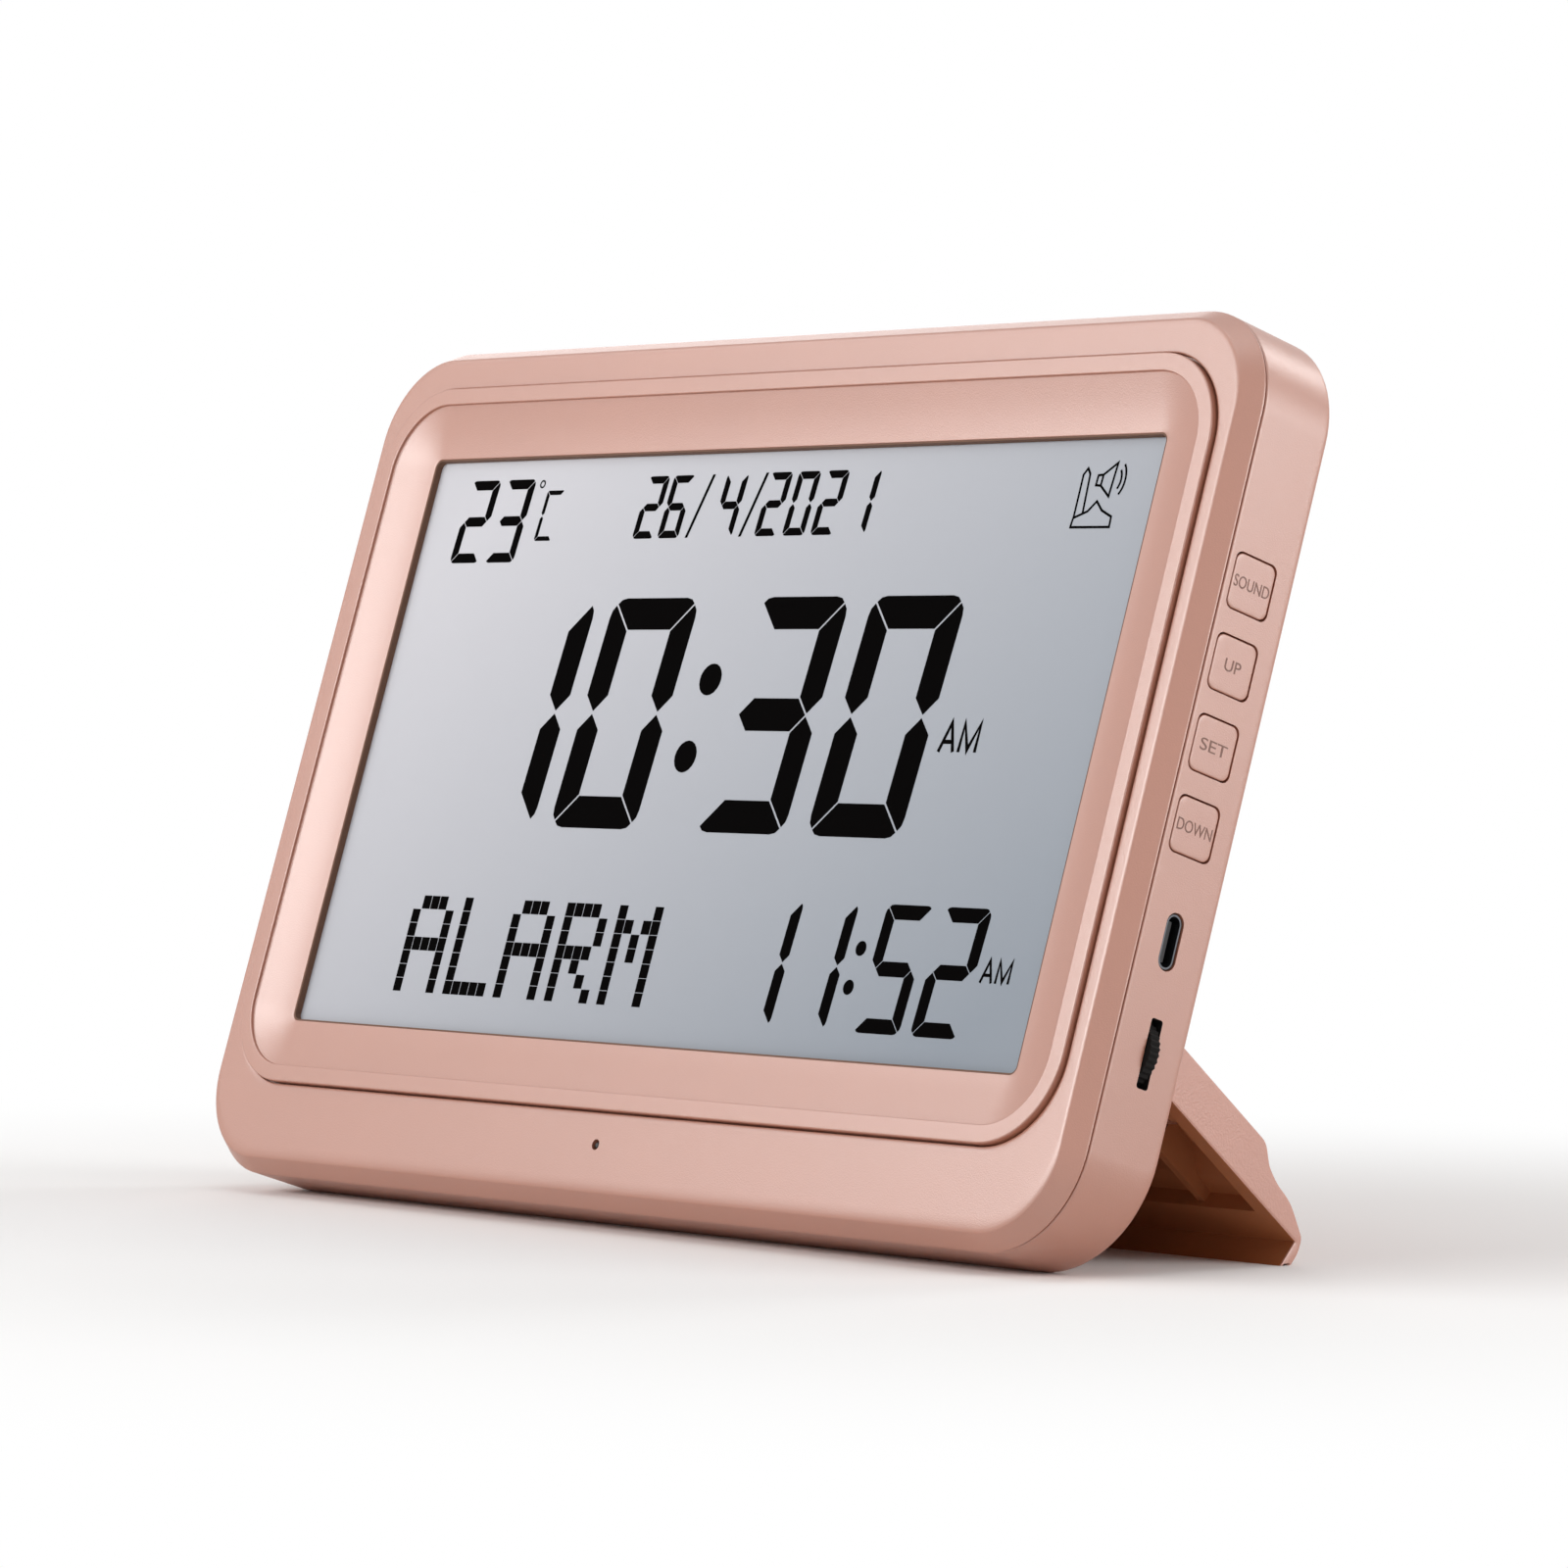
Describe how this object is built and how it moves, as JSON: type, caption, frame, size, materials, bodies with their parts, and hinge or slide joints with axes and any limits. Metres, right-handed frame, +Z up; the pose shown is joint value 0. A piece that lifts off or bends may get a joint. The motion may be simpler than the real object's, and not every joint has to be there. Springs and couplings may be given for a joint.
{
  "type": "desk clock",
  "caption": "Flat desk clock with a wide calendar display in a dished bezel, side buttons, a thumbwheel and a folding tray stand on a hinged rear pod.",
  "frame": {"origin": "bottom centre of the bounding box, standing on the opened stand", "axes": "+X to the clock's right as seen from the front, +Y to the rear, +Z up"},
  "size_m": [0.2362, 0.0698, 0.1547],
  "materials": {
    "rose_shell": "satin rose metallic paint",
    "rose_stand": "fine matt texture",
    "display_glass": "matt polariser film over glass",
    "black_plastic": "plain",
    "white_plastic": "plain",
    "rubber_strip": "plain",
    "circuit_board": "solder resist",
    "steel": "plated",
    "cone_paper": "pressed paper",
    "cell_jacket": "plain jacket"
  },
  "bodies": {
    "clock_body": {"battery_1": "cell_jacket", "battery_2": "cell_jacket", "battery_3": "cell_jacket", "battery_box": "black_plastic", "battery_spring_1": "steel", "battery_spring_2": "steel", "battery_spring_3": "steel", "bezel_ring": "rose_shell", "capacitor": "steel", "clock_chip": "black_plastic", "contact_plate_left": "steel", "contact_plate_right": "steel", "front_cover": "rose_shell", "hinge_pin_left": "steel", "hinge_pin_right": "steel", "housing_screw_1": "steel", "housing_screw_2": "steel", "housing_screw_3": "steel", "housing_screw_4": "steel", "lcd_holder": "white_plastic", "lcd_panel": "display_glass", "light_sensor": "black_plastic", "main_board": "circuit_board", "rear_housing": "rose_shell", "speaker_cone": "cone_paper", "speaker_frame": "black_plastic", "switch_board": "circuit_board", "tact_switch_1": "black_plastic", "tact_switch_2": "black_plastic", "tact_switch_3": "black_plastic", "tact_switch_4": "black_plastic", "usb_shell": "steel", "usb_tongue": "black_plastic", "volume_board": "circuit_board", "volume_pot": "steel", "zebra_strip": "rubber_strip"},
    "stand": {"kickstand": "rose_stand"},
    "wheel": {"volume_wheel": "black_plastic"},
    "door": {"battery_door": "rose_shell"},
    "button_sound": {"button_sound": "rose_shell"},
    "button_up": {"button_up": "rose_shell"},
    "button_set": {"button_set": "rose_shell"},
    "button_down": {"button_down": "rose_shell"}
  },
  "joints": [
    {"name": "stand_fold", "type": "hinge", "parent": "clock_body", "child": "stand", "pos_m": [-0.0006, 0.00438, 0.02648], "axis": [1, 0, 0], "range_deg": [-66.5, 0]},
    {"name": "volume_turn", "type": "hinge", "parent": "clock_body", "child": "wheel", "pos_m": [0.1121, -0.01399, 0.0355], "axis": [0, 0.9563, -0.2924], "range_deg": [-140, 140]},
    {"name": "door_lift_off", "type": "slide", "parent": "clock_body", "child": "door", "axis": [0, 0.9563, -0.2924], "range_m": [0, 0.02]},
    {"name": "press_sound", "type": "slide", "parent": "clock_body", "child": "button_sound", "axis": [-1, 0, 0], "range_m": [0, 0.0008], "stiffness_N_per_m": 800, "springref_m": -0.0005},
    {"name": "press_up", "type": "slide", "parent": "clock_body", "child": "button_up", "axis": [-1, 0, 0], "range_m": [0, 0.0008], "stiffness_N_per_m": 800, "springref_m": -0.0005},
    {"name": "press_set", "type": "slide", "parent": "clock_body", "child": "button_set", "axis": [-1, 0, 0], "range_m": [0, 0.0008], "stiffness_N_per_m": 800, "springref_m": -0.0005},
    {"name": "press_down", "type": "slide", "parent": "clock_body", "child": "button_down", "axis": [-1, 0, 0], "range_m": [0, 0.0008], "stiffness_N_per_m": 800, "springref_m": -0.0005}
  ]
}
